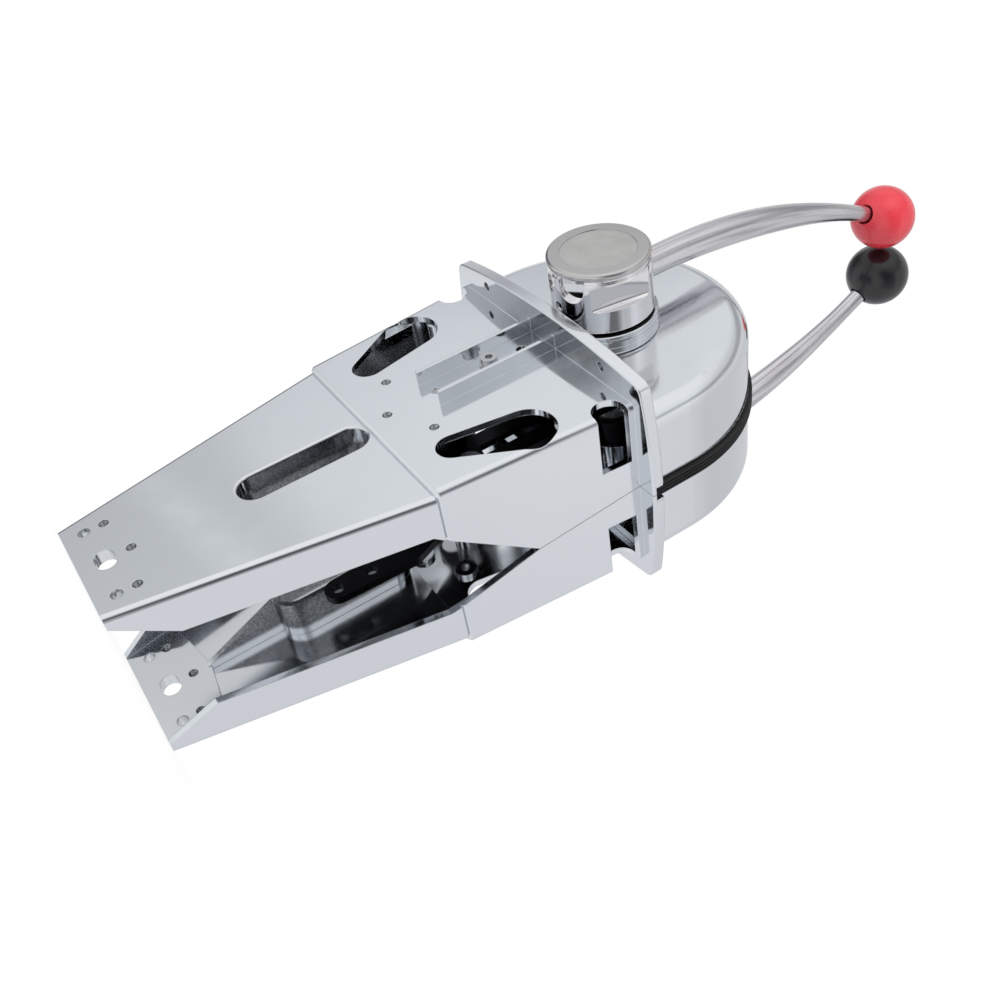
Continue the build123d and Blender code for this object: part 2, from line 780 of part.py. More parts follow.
with BuildPart() as knob:
    with Locations((knob_x, 0, knob_z)):
        Sphere(knob_r)
    with BuildSketch(rod_end):
        Circle(rod_stud_r)
    extrude(amount=stud_len, mode=Mode.SUBTRACT)
    with BuildSketch(rod_end):
        Circle(30)
    extrude(amount=-30, mode=Mode.SUBTRACT)
save_pair(knob.part, "knob")

with BuildPart() as lever_shaft:
    with BuildSketch(at_x(crank_plate_x - 2.4)):
        with Locations((0, shaft_z)):
            Circle(shaft_r)
    extrude(amount=shaft_end_x - crank_plate_x + 2.4)
    with BuildSketch(at_x(crank_plate_x - 1.2)):
        with Locations((0, shaft_z)):
            Circle(shaft_r + 1)
            Circle(shaft_r - 0.8, mode=Mode.SUBTRACT)
    extrude(amount=1.2, mode=Mode.SUBTRACT)
save_pair(lever_shaft.part, "lever_shaft")

with BuildPart() as shaft_clip:
    with BuildSketch(at_x(crank_plate_x - 1.2)):
        with Locations((0, shaft_z)):
            Circle(shaft_r + 2.6)
            Circle(shaft_r - 0.8, mode=Mode.SUBTRACT)
        with Locations((0, shaft_z - 10)):
            Rectangle(4.0, 8.0, mode=Mode.SUBTRACT)
    extrude(amount=1.2)
save_pair(shaft_clip.part, "shaft_clip")

with BuildPart() as crank:
    with BuildSketch(at_x(crank_plate_x)):
        with Locations((0, shaft_z)):
            Circle(14.0)
        with Locations((crank_reach, shaft_z)):
            Circle(link_end_r)
        make_hull()
    extrude(amount=crank_plate_thick)
    with BuildSketch(at_x(crank_face_x)):
        with Locations((0, shaft_z)):
            Circle(crank_hub_r)
    extrude(amount=bush_foot_x - body_gap - crank_face_x)
    with BuildSketch(at_x(crank_plate_x - 1)):
        with Locations((0, shaft_z)):
            Circle(shaft_r)
        with Locations((crank_reach, shaft_z)):
            Circle(pin_r)
    extrude(amount=20.0, mode=Mode.SUBTRACT)
save_pair(crank.part, "crank")

with BuildPart() as detent_disc:
    with BuildSketch(at_x(-detent_back_x)):
        with Locations((0, shaft_z)):
            Circle(detent_disc_r)
            Circle(crank_hub_r, mode=Mode.SUBTRACT)
        wedge_y = 2 * detent_disc_r * sin(radians(detent_span))
        wedge_z = 2 * detent_disc_r * cos(radians(detent_span))
        with BuildLine():
            Polyline((0, shaft_z), (wedge_y, shaft_z + wedge_z), (-wedge_y, shaft_z + wedge_z), close=True)
        make_face(mode=Mode.INTERSECT)
        for notch in (-detent_step, 0, detent_step):
            with Locations((detent_disc_r * sin(radians(notch)), shaft_z + detent_disc_r * cos(radians(notch)))):
                Circle(2.6, mode=Mode.SUBTRACT)
    extrude(amount=detent_thick)
save(detent_disc.part, "detent_disc")

# ---- Linkage ----


def pin_at(z):
    """Shouldered pin pressed through a crank or arm lobe, with its journal in the link."""
    with BuildPart() as pin:
        for start, end, radius in ((link_foot_x - 1.6, crank_face_x, pin_r), (crank_face_x, crank_face_x + 1.8, 6.0)):
            with BuildSketch(at_x(start)):
                with Locations((crank_reach, z)):
                    Circle(radius)
            extrude(amount=end - start)
    return pin.part


def clip_at(z):
    """Retaining ring on the free end of a pin."""
    with BuildPart() as clip:
        with BuildSketch(at_x(link_foot_x - side_gap - 1.0)):
            with Locations((crank_reach, z)):
                Circle(pin_r + 2.4)
                Circle(pin_r, mode=Mode.SUBTRACT)
        extrude(amount=1.0)
    return clip.part


save_pair(pin_at(shaft_z), "crank_pin")
save_pair(pin_at(pivot_z), "arm_pin")
save_pair(clip_at(shaft_z), "crank_pin_clip")
save_pair(clip_at(pivot_z), "arm_pin_clip")

with BuildPart() as link:
    link_mid = (shaft_z + pivot_z) / 2
    with BuildSketch(at_x(link_foot_x)):
        with Locations((crank_reach, shaft_z), (crank_reach, pivot_z)):
            Circle(link_end_r)
        with Locations((crank_reach, link_mid)):
            Rectangle(link_width, shaft_z - pivot_z)
        with Locations((crank_reach, shaft_z), (crank_reach, pivot_z)):
            Circle(pin_r + running, mode=Mode.SUBTRACT)
    extrude(amount=link_thick)
save_pair(link.part, "link")

with BuildPart() as cable_arm:
    with BuildSketch(at_x(crank_plate_x)):
        with Locations((0, pivot_z)):
            Circle(arm_pivot_r)
        with Locations((crank_reach, pivot_z)):
            Circle(link_end_r)
        make_hull()
    extrude(amount=crank_plate_thick)
    with BuildSketch(at_x(crank_plate_x)):
        with Locations((0, pivot_z)):
            Circle(arm_pivot_r)
        with Locations((arm_side_y, arm_elbow_z)):
            Circle(arm_elbow_r)
        make_hull()
    extrude(amount=crank_plate_thick)
    with BuildSketch(at_x(crank_plate_x)):
        with Locations((arm_side_y, arm_elbow_z)):
            Circle(arm_elbow_r)
        with Locations((arm_side_y, arm_tip_z)):
            Circle(arm_tip_r)
        make_hull()
    extrude(amount=crank_plate_thick)
    with BuildSketch(at_x(crank_face_x)):
        with Locations((0, pivot_z)):
            Circle(pivot_r + 4.5)
    extrude(amount=arm_hub_thick)
    with BuildSketch(at_x(crank_plate_x - 1)):
        with Locations((0, pivot_z)):
            Circle(pivot_r + running)
        with Locations((crank_reach, pivot_z)):
            Circle(pin_r)
        with Locations((arm_side_y, arm_tip_z), (arm_side_y, arm_tip_z + cable_hole_step)):
            Circle(cable_hole_r)
    extrude(amount=12.0, mode=Mode.SUBTRACT)
save_pair(cable_arm.part, "cable_arm")
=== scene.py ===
"""Boat throttle control lever: finishes, fine pieces, studio and camera.

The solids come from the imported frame, and each gets the finish of the real piece. The forms that are
too fine for the solids are built here: the grooved rim seal, the collar steps, the hub wipers, the
ends of the flange beside the seal, the knobs' closed feet and the screw threads. Sizes are written in
millimetres and turned to metres by MM. +Z points up through the dome and X is the axis of the lever
shafts. The shift side is the throttle side turned half a turn, which a hand of -1 gives.
"""

import json
import math

import bpy
from mathutils import Matrix, Vector


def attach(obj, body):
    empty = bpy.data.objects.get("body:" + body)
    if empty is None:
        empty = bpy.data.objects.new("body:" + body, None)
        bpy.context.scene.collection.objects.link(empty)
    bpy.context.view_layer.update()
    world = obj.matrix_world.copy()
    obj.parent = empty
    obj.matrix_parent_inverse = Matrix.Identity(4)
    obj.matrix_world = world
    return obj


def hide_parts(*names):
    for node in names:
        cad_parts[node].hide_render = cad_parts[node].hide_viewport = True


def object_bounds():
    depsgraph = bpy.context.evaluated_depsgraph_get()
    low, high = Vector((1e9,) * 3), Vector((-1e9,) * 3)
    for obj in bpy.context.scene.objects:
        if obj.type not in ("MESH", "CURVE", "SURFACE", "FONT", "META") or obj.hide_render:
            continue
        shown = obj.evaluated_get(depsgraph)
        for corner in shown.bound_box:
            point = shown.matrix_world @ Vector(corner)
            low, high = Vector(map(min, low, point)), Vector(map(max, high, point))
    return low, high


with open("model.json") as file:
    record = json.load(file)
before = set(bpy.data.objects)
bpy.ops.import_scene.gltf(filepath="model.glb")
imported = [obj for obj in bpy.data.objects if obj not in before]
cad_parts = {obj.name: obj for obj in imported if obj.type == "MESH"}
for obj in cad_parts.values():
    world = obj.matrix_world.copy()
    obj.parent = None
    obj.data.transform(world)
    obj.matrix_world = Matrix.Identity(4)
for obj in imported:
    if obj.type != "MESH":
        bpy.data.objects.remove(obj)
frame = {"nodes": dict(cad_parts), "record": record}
cad_low, cad_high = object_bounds()
scene = bpy.context.scene
MM = 0.001

# Sizes of the solids that the finishes and fine pieces follow, in millimetres
SHAFT_Z = 37.0
DOME_Z = 26.5
DOME_R = 77.5
SEAL_FOOT_Z = 2.0
SEAL_BASE_R = 75.6
ROD_BEND_X = -269.2
ROD_BEND_Z = 70.0
BALL_X = 18.7
BALL_Z = 231.5
BALL_R = 17.5
# Direction from the ball's middle down its rod
BALL_DOWN_X, BALL_DOWN_Z = 0.4577, -0.8891

SIDES = (("throttle", 1), ("shift", -1))


# ---- Colours and node helpers ----

def colour(hex_code):
    """sRGB hex to a linear RGBA value."""
    channels = [int(hex_code[i:i + 2], 16) / 255 for i in (1, 3, 5)]
    linear = [c / 12.92 if c <= 0.04045 else ((c + 0.055) / 1.055) ** 2.4 for c in channels]
    return (*linear, 1.0)


def wire(tree, made, links):
    """Links a node's inputs to sockets, or to nodes, which give their first output in use."""
    for key, source in links.items():
        if isinstance(source, bpy.types.Node):
            source = next(socket for socket in source.outputs if socket.enabled)
        tree.links.new(source, made.inputs[key])


def add(tree, kind, settings=None, links=None):
    """Adds one node: settings are its properties, input values or colour ramp stops of (place, hex)."""
    made = tree.nodes.new(kind)
    for key, value in (settings or {}).items():
        if key == "stops":
            elements = made.color_ramp.elements
            while len(elements) < len(value):
                elements.new(0.5)
            for element, (place, hex_code) in zip(elements, value):
                element.position = place
                element.color = colour(hex_code)
        elif isinstance(key, int) or key in made.inputs:
            made.inputs[key].default_value = value
        else:
            setattr(made, key, value)
    wire(tree, made, links or {})
    return made


def material(name):
    """A bare node material: returns it with its tree and its shader."""
    made = bpy.data.materials.new(name)
    made.use_nodes = True
    tree = made.node_tree
    return made, tree, tree.nodes["Principled BSDF"]


# ---- Metals ----

def inside_housing(tree, place):
    """1 on surfaces within the hollow of the two housing halves, 0 on their outer faces and pads."""
    axes = add(tree, "ShaderNodeSeparateXYZ", links={"Vector": place})
    across = add(tree, "ShaderNodeMath", {"operation": "ABSOLUTE"}, {0: axes.outputs["X"]})
    along = add(tree, "ShaderNodeMath", {"operation": "ABSOLUTE"}, {0: axes.outputs["Y"]})
    # Slope of the body's edge and its half width carried to z 0: it tapers more below the waist
    upper, lower = (add(tree, "ShaderNodeMath", {"operation": "MULTIPLY_ADD", 1: slope, 2: half_mm * MM},
                        {0: axes.outputs["Z"]}) for slope, half_mm in ((0.0928, 71.3), (0.2085, 82.5)))
    half_width = add(tree, "ShaderNodeMath", {"operation": "MINIMUM"}, {0: upper, 1: lower})
    depth = add(tree, "ShaderNodeMath", {"operation": "SUBTRACT"}, {0: half_width, 1: along})
    behind_face = add(tree, "ShaderNodeMapRange", {"From Min": 35.5 * MM, "From Max": 38.0 * MM,
                                                   "To Min": 1.0, "To Max": 0.0}, {"Value": across})
    behind_wall = add(tree, "ShaderNodeMapRange", {"From Min": 3.3 * MM, "From Max": 3.7 * MM},
                      {"Value": depth})
    below_dome = add(tree, "ShaderNodeMapRange", {"From Max": 4.0 * MM, "To Min": 1.0, "To Max": 0.0},
                     {"Value": axes.outputs["Z"]})
    behind = add(tree, "ShaderNodeMath", {"operation": "MULTIPLY"}, {0: behind_face, 1: behind_wall})
    return add(tree, "ShaderNodeMath", {"operation": "MULTIPLY"}, {0: behind, 1: below_dome})


def belt_marked(tree, place, plate, share):
    """Plate colour darkened by belt marks that run lengthwise round the bend of the lever rods."""
    half = add(tree, "ShaderNodeVectorMath", {"operation": "ABSOLUTE"}, {0: place})
    from_bend = add(tree, "ShaderNodeVectorMath", {"operation": "MULTIPLY_ADD", 1: (1, 0, 1),
                                                   2: (-ROD_BEND_X * MM, 0.0, -ROD_BEND_Z * MM)}, {0: half})
    bend = add(tree, "ShaderNodeVectorMath", {"operation": "LENGTH"}, {0: from_bend})
    axes = add(tree, "ShaderNodeSeparateXYZ", links={"Vector": half})
    run = add(tree, "ShaderNodeMath", {"operation": "MULTIPLY", 1: 0.03}, {0: axes.outputs["Z"]})
    lie = add(tree, "ShaderNodeCombineXYZ", links={"X": bend, "Y": axes.outputs["Y"], "Z": run})
    line = add(tree, "ShaderNodeTexNoise", {"Scale": 1 / (2.0 * MM), "Detail": 3.0}, {"Vector": lie})
    mark = add(tree, "ShaderNodeValToRGB", {"stops": [(0.36, "#a8a6a8"), (0.58, "#ffffff")]}, {"Fac": line})
    return add(tree, "ShaderNodeMix", {"data_type": "RGBA", "blend_type": "MULTIPLY", "Factor": share},
               {6: plate, 7: mark})


def chrome(name, tone, hollow_shade_tone, wave_mm, wave_depth, cloud_low, cloud_high, hollow=False, streak=0.0):
    """Bright chrome plate: mirror with faint orange peel, cloudy wiping haze and hairline scratches.

    Ambient occlusion paints shade into the colour: the plate turns to the given shade tone deep in hollows
    and where parts meet.
    """
    made, tree, shader = material(name)
    place = add(tree, "ShaderNodeTexCoord").outputs["Object"]
    peel = add(tree, "ShaderNodeTexNoise", {"Scale": 1 / (wave_mm * MM), "Detail": 1.5}, {"Vector": place})
    haze = add(tree, "ShaderNodeTexNoise", {"Scale": 1 / (38 * MM), "Detail": 5.0, "Roughness": 0.6,
                                            "Distortion": 0.6}, {"Vector": place})
    wipe = add(tree, "ShaderNodeMapping", {"Scale": (1.0, 1.0, 9.0)}, {"Vector": place})
    hair = add(tree, "ShaderNodeTexNoise", {"Scale": 1 / (1.4 * MM), "Detail": 3.0}, {"Vector": wipe})
    cloud = add(tree, "ShaderNodeMapRange", {"From Min": 0.35, "From Max": 0.68, "To Min": cloud_low,
                                             "To Max": cloud_high}, {"Value": haze})
    gloss = add(tree, "ShaderNodeMath", {"operation": "MULTIPLY_ADD", 1: 0.035}, {0: hair, 2: cloud})
    # Buffing rounds every sharp edge to about half a millimetre
    soft = add(tree, "ShaderNodeBevel", {"samples": 4, "Radius": 0.5 * MM})
    bump = add(tree, "ShaderNodeBump", {"Strength": 1.0, "Distance": wave_depth * MM},
               {"Height": peel, "Normal": soft})
    # Painted shade: ambient occlusion darkens the plate colour in hollows and where parts meet
    shade_occlusion = add(tree, "ShaderNodeAmbientOcclusion", {"Distance": 45 * MM, "samples": 8})
    plate = add(tree, "ShaderNodeValToRGB", {"stops": [(0.02, hollow_shade_tone), (0.24, tone)]},
                {"Fac": shade_occlusion.outputs["AO"]})
    if streak:
        plate = belt_marked(tree, place, plate, streak)
    shader.inputs["Metallic"].default_value = 1.0
    if hollow:
        # Painted shade darkens the inner walls, over the real grain of the casting under a thin, rougher
        # plate
        inner = inside_housing(tree, place)
        grain = add(tree, "ShaderNodeTexNoise", {"Scale": 1 / (1.1 * MM), "Detail": 3.0}, {"Vector": place})
        speck = add(tree, "ShaderNodeValToRGB", {"stops": [(0.40, "#a2a4a8"), (0.62, "#ffffff")]},
                    {"Fac": grain})
        # Painted shade: darker overall inside the hollow and darker still where ambient occlusion finds
        # recesses
        inner_shade = add(tree, "ShaderNodeValToRGB", {"stops": [(0.12, "#55565a"), (0.75, "#b0b2b6")]},
                   {"Fac": shade_occlusion.outputs["AO"]})
        # Real casting grain multiplied by the painted shade of the hollow
        cast = add(tree, "ShaderNodeMix", {"data_type": "RGBA", "blend_type": "MULTIPLY", "Factor": 0.7},
                   {6: inner_shade, 7: speck})
        plate = add(tree, "ShaderNodeMix", {"data_type": "RGBA"}, {0: inner, 6: plate, 7: cast})
        gloss = add(tree, "ShaderNodeMath", {"operation": "MULTIPLY_ADD", 1: 0.06}, {0: inner, 2: gloss})
        bare = add(tree, "ShaderNodeMapRange", {"To Min": 1.0, "To Max": 0.85}, {"Value": inner})
        wire(tree, shader, {"Metallic": bare})
    wire(tree, shader, {"Base Color": plate, "Roughness": gloss, "Normal": bump})
    return made


# The second colour of each chrome is the painted shade that ambient occlusion lays into hollows
# Chrome over die-cast zinc: nearly a mirror, a little wavy and slightly milky on the flats
cast_chrome = chrome("chromed_die_cast_zinc", "#e0e3e7", "#8a8c90", 9.0, 0.012, 0.05, 0.14, hollow=True)
# Chrome over turned and buffed brass: a clean deep mirror
hub_chrome = chrome("buffed_chrome_on_brass", "#f6f4f5", "#a9a8ab", 14.0, 0.006, 0.02, 0.05)
# The same plate on the screwed cap, dulled by fingers
cap_chrome = chrome("worn_chrome_cap", "#c9c6c5", "#8b8988", 6.0, 0.010, 0.10, 0.22)
# Chrome over bent steel rod: softer streaks left by the belt that polished it
rod_chrome = chrome("belt_polished_chrome_rod", "#dcdadd", "#9d9c9f", 5.0, 0.010, 0.14, 0.24, streak=0.5)


def brushed(name, tone, rough, grain_mm, stretch, depth):
    """Drawn, rolled or turned metal: fine lines along one way and a broken satin gloss."""
    made, tree, shader = material(name)
    place = add(tree, "ShaderNodeTexCoord").outputs["Object"]
    along = add(tree, "ShaderNodeMapping", {"Scale": stretch}, {"Vector": place})
    grain = add(tree, "ShaderNodeTexNoise", {"Scale": 1 / (grain_mm * MM), "Detail": 4.0}, {"Vector": along})
    stain = add(tree, "ShaderNodeTexNoise", {"Scale": 1 / (16 * MM), "Detail": 3.0}, {"Vector": place})
    line = add(tree, "ShaderNodeValToRGB", {"stops": [(0.3, "#b8b8b8"), (0.7, "#ffffff")]}, {"Fac": grain})
    lined = add(tree, "ShaderNodeMix", {"data_type": "RGBA", "blend_type": "MULTIPLY", "Factor": 0.35,
                                        6: colour(tone)}, {7: line})
    gloss = add(tree, "ShaderNodeMapRange", {"From Min": 0.3, "From Max": 0.7, "To Min": rough - 0.06,
                                             "To Max": rough + 0.06}, {"Value": stain})
    bump = add(tree, "ShaderNodeBump", {"Strength": 0.6, "Distance": depth * MM}, {"Height": grain})
    shader.inputs["Metallic"].default_value = 1.0
    wire(tree, shader, {"Base Color": lined, "Roughness": gloss, "Normal": bump})
    return made


# Turned stainless steel: pins, shafts, clips and screws
turned_steel = brushed("turned_stainless_steel", "#d0d0d2", 0.24, 0.5, (0.2, 1.0, 1.0), 0.01)
# Bright zinc plate on pressed steel: bluish satin
zinc_plate = brushed("bright_zinc_plated_steel", "#bdc1c4", 0.24, 0.8, (1.0, 1.0, 0.25), 0.012)
# Rolled spring strip: dark, with lines along its length
spring_strip = brushed("rolled_spring_steel", "#77777c", 0.32, 0.4, (1.0, 1.0, 0.1), 0.008)
# Black oxide on pressed steel: blue-black with an oily satin
black_oxide = brushed("black_oxide_pressed_steel", "#2c2c2f", 0.34, 0.7, (1.0, 1.0, 0.4), 0.01)


def spun_disc():
    """Spun satin aluminium: fine rings round its middle, slightly clouded."""
    made, tree, shader = material("spun_satin_aluminium")
    place = add(tree, "ShaderNodeTexCoord").outputs["Object"]
    flat = add(tree, "ShaderNodeMapping", {"Location": (0, 0, -SHAFT_Z * MM), "Scale": (0.0, 1.0, 1.0)},
               {"Vector": place})
    radius = add(tree, "ShaderNodeVectorMath", {"operation": "LENGTH"}, {0: flat})
    rings = add(tree, "ShaderNodeTexNoise", {"noise_dimensions": "1D", "Scale": 1 / (0.35 * MM),
                                             "Detail": 3.0}, {"W": radius})
    cloud = add(tree, "ShaderNodeTexNoise", {"Scale": 1 / (11 * MM), "Detail": 4.0}, {"Vector": place})
    ring = add(tree, "ShaderNodeValToRGB", {"stops": [(0.3, "#c2c0bd"), (0.7, "#dad8d5")]}, {"Fac": rings})
    blotch = add(tree, "ShaderNodeValToRGB", {"stops": [(0.3, "#bebcb9"), (0.7, "#dcdad7")]}, {"Fac": cloud})
    tone = add(tree, "ShaderNodeMix", {"data_type": "RGBA", "Factor": 0.5}, {6: ring, 7: blotch})
    bump = add(tree, "ShaderNodeBump", {"Strength": 0.5, "Distance": 0.008 * MM}, {"Height": rings})
    shader.inputs["Metallic"].default_value = 1.0
    shader.inputs["Roughness"].default_value = 0.33
    wire(tree, shader, {"Base Color": tone, "Normal": bump})
    return made


spun_aluminium = spun_disc()


# ---- Plastics and rubber ----

def moulded(name, dark, light, rough_low, rough_high, grain_mm, depth, coat):
    """Moulded piece: slight mottling, broken gloss and a fine skin texture."""
    made, tree, shader = material(name)
    place = add(tree, "ShaderNodeTexCoord").outputs["Object"]
    mottle = add(tree, "ShaderNodeTexNoise", {"Scale": 1 / (12 * MM), "Detail": 4.0}, {"Vector": place})
    skin_grain = add(tree, "ShaderNodeTexNoise", {"Scale": 1 / (grain_mm * MM), "Detail": 2.0},
                     {"Vector": place})
    tone = add(tree, "ShaderNodeValToRGB", {"stops": [(0.3, dark), (0.7, light)]}, {"Fac": mottle})
    gloss = add(tree, "ShaderNodeMapRange", {"From Min": 0.3, "From Max": 0.7, "To Min": rough_low,
                                             "To Max": rough_high}, {"Value": skin_grain})
    bump = add(tree, "ShaderNodeBump", {"Strength": 0.5, "Distance": depth * MM}, {"Height": skin_grain})
    shader.inputs["IOR"].default_value = 1.5
    shader.inputs["Coat Weight"].default_value = coat
    shader.inputs["Coat Roughness"].default_value = 0.08
    wire(tree, shader, {"Base Color": tone, "Roughness": gloss, "Normal": bump})
    return made


# Compression-moulded phenolic: deep colour under a hard buffed gloss
red_phenolic = moulded("red_phenolic_resin", "#cc303c", "#d23844", 0.24, 0.34, 0.9, 0.004, 0.3)
black_phenolic = moulded("black_phenolic_resin", "#141315", "#1a191b", 0.18, 0.26, 0.9, 0.004, 0.1)
# Extruded EPDM: black and matt
seal_rubber = moulded("extruded_epdm_rubber", "#0d0d0d", "#141415", 0.6, 0.78, 0.6, 0.02, 0.0)
# Machined acetal: milky white and waxy
acetal = moulded("machined_acetal", "#dcd9cf", "#e6e3da", 0.34, 0.45, 0.7, 0.01, 0.0)
# Pressed friction lining: brown-black, coarse and dull
brake_lining = moulded("pressed_friction_lining", "#2a231c", "#3b3128", 0.72, 0.88, 0.5, 0.06, 0.0)


# ---- Finish of each solid ----

finish = {
    "chrome": cast_chrome,
    "red_knob": red_phenolic,
    "black_knob": black_phenolic,
    "seal_rubber": seal_rubber,
    "disc": spun_aluminium,
    "steel": turned_steel,
    "plate_steel": zinc_plate,
    "spring_steel": spring_strip,
    "acetal": acetal,
    "brake_pad": brake_lining,
    "black_steel": black_oxide,
}
own_chrome = {"hub": hub_chrome, "hub_cap": cap_chrome, "lever_rod": rod_chrome}
slots = {subpart["node"]: subpart["material_slot"] for subpart in frame["record"]["subparts"]}
for name, node in frame["nodes"].items():
    kind = name.rsplit("_", 1)[0]
    node.data.materials.clear()
    node.data.materials.append(own_chrome.get(kind, finish[slots[name]]))


# ---- Pieces finer than the solids ----

def piece(name, corners, faces, made, body, smooth_angle):
    """Makes a mesh piece, gives it its finish and hangs it on its body."""
    mesh = bpy.data.meshes.new(name)
    mesh.from_pydata(corners, [], faces)
    mesh.validate()
    mesh.shade_smooth()
    mesh.set_sharp_from_angle(angle=math.radians(smooth_angle))
    mesh.materials.append(made)
    thing = bpy.data.objects.new(name, mesh)
    scene.collection.objects.link(thing)
    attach(thing, body)
    return thing


def skin(rows, columns, closed_rows, closed_columns):
    """Quads over a grid of points laid out row by row."""
    return [(i * columns + j, i * columns + (j + 1) % columns,
             (i + 1) % rows * columns + (j + 1) % columns, (i + 1) % rows * columns + j)
            for i in range(rows if closed_rows else rows - 1)
            for j in range(columns if closed_columns else columns - 1)]


def turned(name, profile, made, body, hand):
    """Ring turned about the shaft line: profile is (distance from the middle, radius) in millimetres."""
    steps_round = 144
    corners = []
    for i in range(steps_round):
        angle = math.tau * i / steps_round
        corners += [(hand * x * MM, r * MM * math.cos(angle), (SHAFT_Z + r * math.sin(angle)) * MM)
                    for x, r in profile]
    return piece(name, corners, skin(steps_round, len(profile), True, True), made, body, 35)


def rim_path(radius):
    """Points (y, z) up one straight leg, over the dome and down the other, in millimetres."""
    arch_steps = 96
    turns = [math.pi * i / arch_steps for i in range(arch_steps + 1)]
    arch = [(-radius * math.cos(turn), DOME_Z + radius * math.sin(turn)) for turn in turns]
    return [(-radius, SEAL_FOOT_Z), *arch, (radius, SEAL_FOOT_Z)]


def rim_strip(name, profile, made):
    """Strip that runs round the dome: profile is (x, radius) in millimetres."""
    paths = [rim_path(r) for x, r in profile]
    rows = len(paths[0])
    corners = [(x * MM, path[i][0] * MM, path[i][1] * MM) for i in range(rows)
               for (x, r), path in zip(profile, paths)]
    count = len(profile)
    ends = [tuple(range(count)), tuple((rows - 1) * count + i for i in reversed(range(count)))]
    return piece(name, corners, skin(rows, count, False, True) + ends, made, "housing", 35)


def rim_seal():
    """Extruded seal between the two halves, with three fine grooves along its crown."""
    profile = [(-3.6, SEAL_BASE_R), (-3.6, 78.9), (-3.2, 79.4)]
    for middle in (-1.75, 0.0, 1.75):
        profile += [(middle - 0.45, 79.5), (middle - 0.25, 78.8), (middle + 0.25, 78.8),
                    (middle + 0.45, 79.5)]
    profile += [(3.2, 79.4), (3.6, 78.9), (3.6, SEAL_BASE_R)]
    return rim_strip("extruded_rim_seal", profile, seal_rubber)


def seal_lip(name, hand):
    """Rim of a housing half that stands over its edge of the seal, flush with the dome."""
    profile = [(3.75, SEAL_BASE_R), (3.75, 77.2), (4.05, DOME_R), (5.0, DOME_R), (5.0, SEAL_BASE_R)]
    rim_strip(name, [(hand * x, r) for x, r in profile], cast_chrome)


def flange_ends(name, hand):
    """The two ends of the flange beside the seal, with a bevelled upper corner."""
    outline = ((77.4, 2.0), (81.0, 2.0), (81.0, 5.9), (80.4, 6.5), (77.4, 6.5))
    corners = [(hand * x * MM, end * y * MM, z * MM) for end in (-1, 1) for x in (3.75, 5.0)
               for y, z in outline]
    block = ((0, 1, 2, 3, 4), (9, 8, 7, 6, 5), (1, 6, 7, 2), (2, 7, 8, 3), (3, 8, 9, 4), (0, 4, 9, 5),
             (0, 5, 6, 1))
    faces = [tuple(first + corner for corner in face) for first in (0, 2 * len(outline)) for face in block]
    piece(name, corners, faces, cast_chrome, "housing", 20)


def collar_top(name, hand):
    """Step and rounded rim on top of the collar that carries the hub."""
    profile = [(46.4, 19.0), (46.4, 25.4), (46.6, 26.4), (46.6, 26.9), (47.9, 26.9), (48.3, 26.5),
               (48.3, 19.0)]
    turned(name, profile, cast_chrome, "housing", hand)


def hub_wiper(name, body, hand):
    """Thin rubber ring that wipes the gap between the collar and the hub."""
    profile = [(48.8, 20.2), (48.8, 23.9), (49.0, 24.2), (50.0, 24.2), (50.0, 20.2)]
    return turned(name, profile, seal_rubber, body, hand)


def ball_knob(name, made, body, slot, hand):
    """Moulded ball whose round foot closes in on the rod, with a small chamfered mouth."""
    steps_round, steps_down = 96, 48
    mouth_r = 6.0
    sweep = math.pi - math.asin(mouth_r / BALL_R)
    # Profile points are (depth along the rod's axis from the ball's middle, radius)
    profile = [(-BALL_R * math.cos(sweep * i / steps_down), BALL_R * math.sin(sweep * i / steps_down))
               for i in range(1, steps_down + 1)]
    profile += [(16.6, 5.5), (16.1, 5.1), (11.9, 5.05)]
    corners = []
    for i in range(steps_round):
        out = math.cos(math.tau * i / steps_round)
        aside = math.sin(math.tau * i / steps_round)
        corners += [(hand * (BALL_X + depth * BALL_DOWN_X - r * out * BALL_DOWN_Z) * MM,
                     hand * r * aside * MM,
                     (BALL_Z + depth * BALL_DOWN_Z + r * out * BALL_DOWN_X) * MM) for depth, r in profile]
    count, top = len(profile), len(corners)
    corners.append((hand * (BALL_X - BALL_R * BALL_DOWN_X) * MM, 0.0, (BALL_Z - BALL_R * BALL_DOWN_Z) * MM))
    faces = skin(steps_round, count, True, False)
    faces += [(top, (i + 1) % steps_round * count, i * count) for i in range(steps_round)]
    faces.append(tuple((i + 1) * count - 1 for i in range(steps_round)))
    return piece(name, corners, faces, made, body, 35)


def cut_threads(name, holes, hand):
    """M5 threads on the walls of tapped holes, given as (y, z, outer x, depth) in millimetres."""
    bore_r, pitch, chamfer, skin_gap = 2.3, 0.8, 0.25, 0.02
    thread_depth = 0.42 * pitch
    rows_per_turn, points_round = 6, 24
    corners, faces = [], []
    for y, z, outer_x, depth in holes:
        first = len(corners)
        rows = int(depth / pitch * rows_per_turn) + 1
        for i in range(rows):
            down = i * pitch / rows_per_turn
            for j in range(points_round):
                tooth = abs(2 * ((down / pitch - j / points_round) % 1) - 1)
                reach = bore_r - skin_gap - thread_depth * (1 - tooth)
                angle = math.tau * j / points_round
                corners.append((hand * (outer_x - chamfer - down) * MM,
                                (hand * y + reach * math.cos(angle)) * MM,
                                (z + reach * math.sin(angle)) * MM))
        faces += [tuple(first + k for k in quad) for quad in skin(rows, points_round, False, True)]
    piece(name, corners, faces, zinc_plate, "housing", 20)


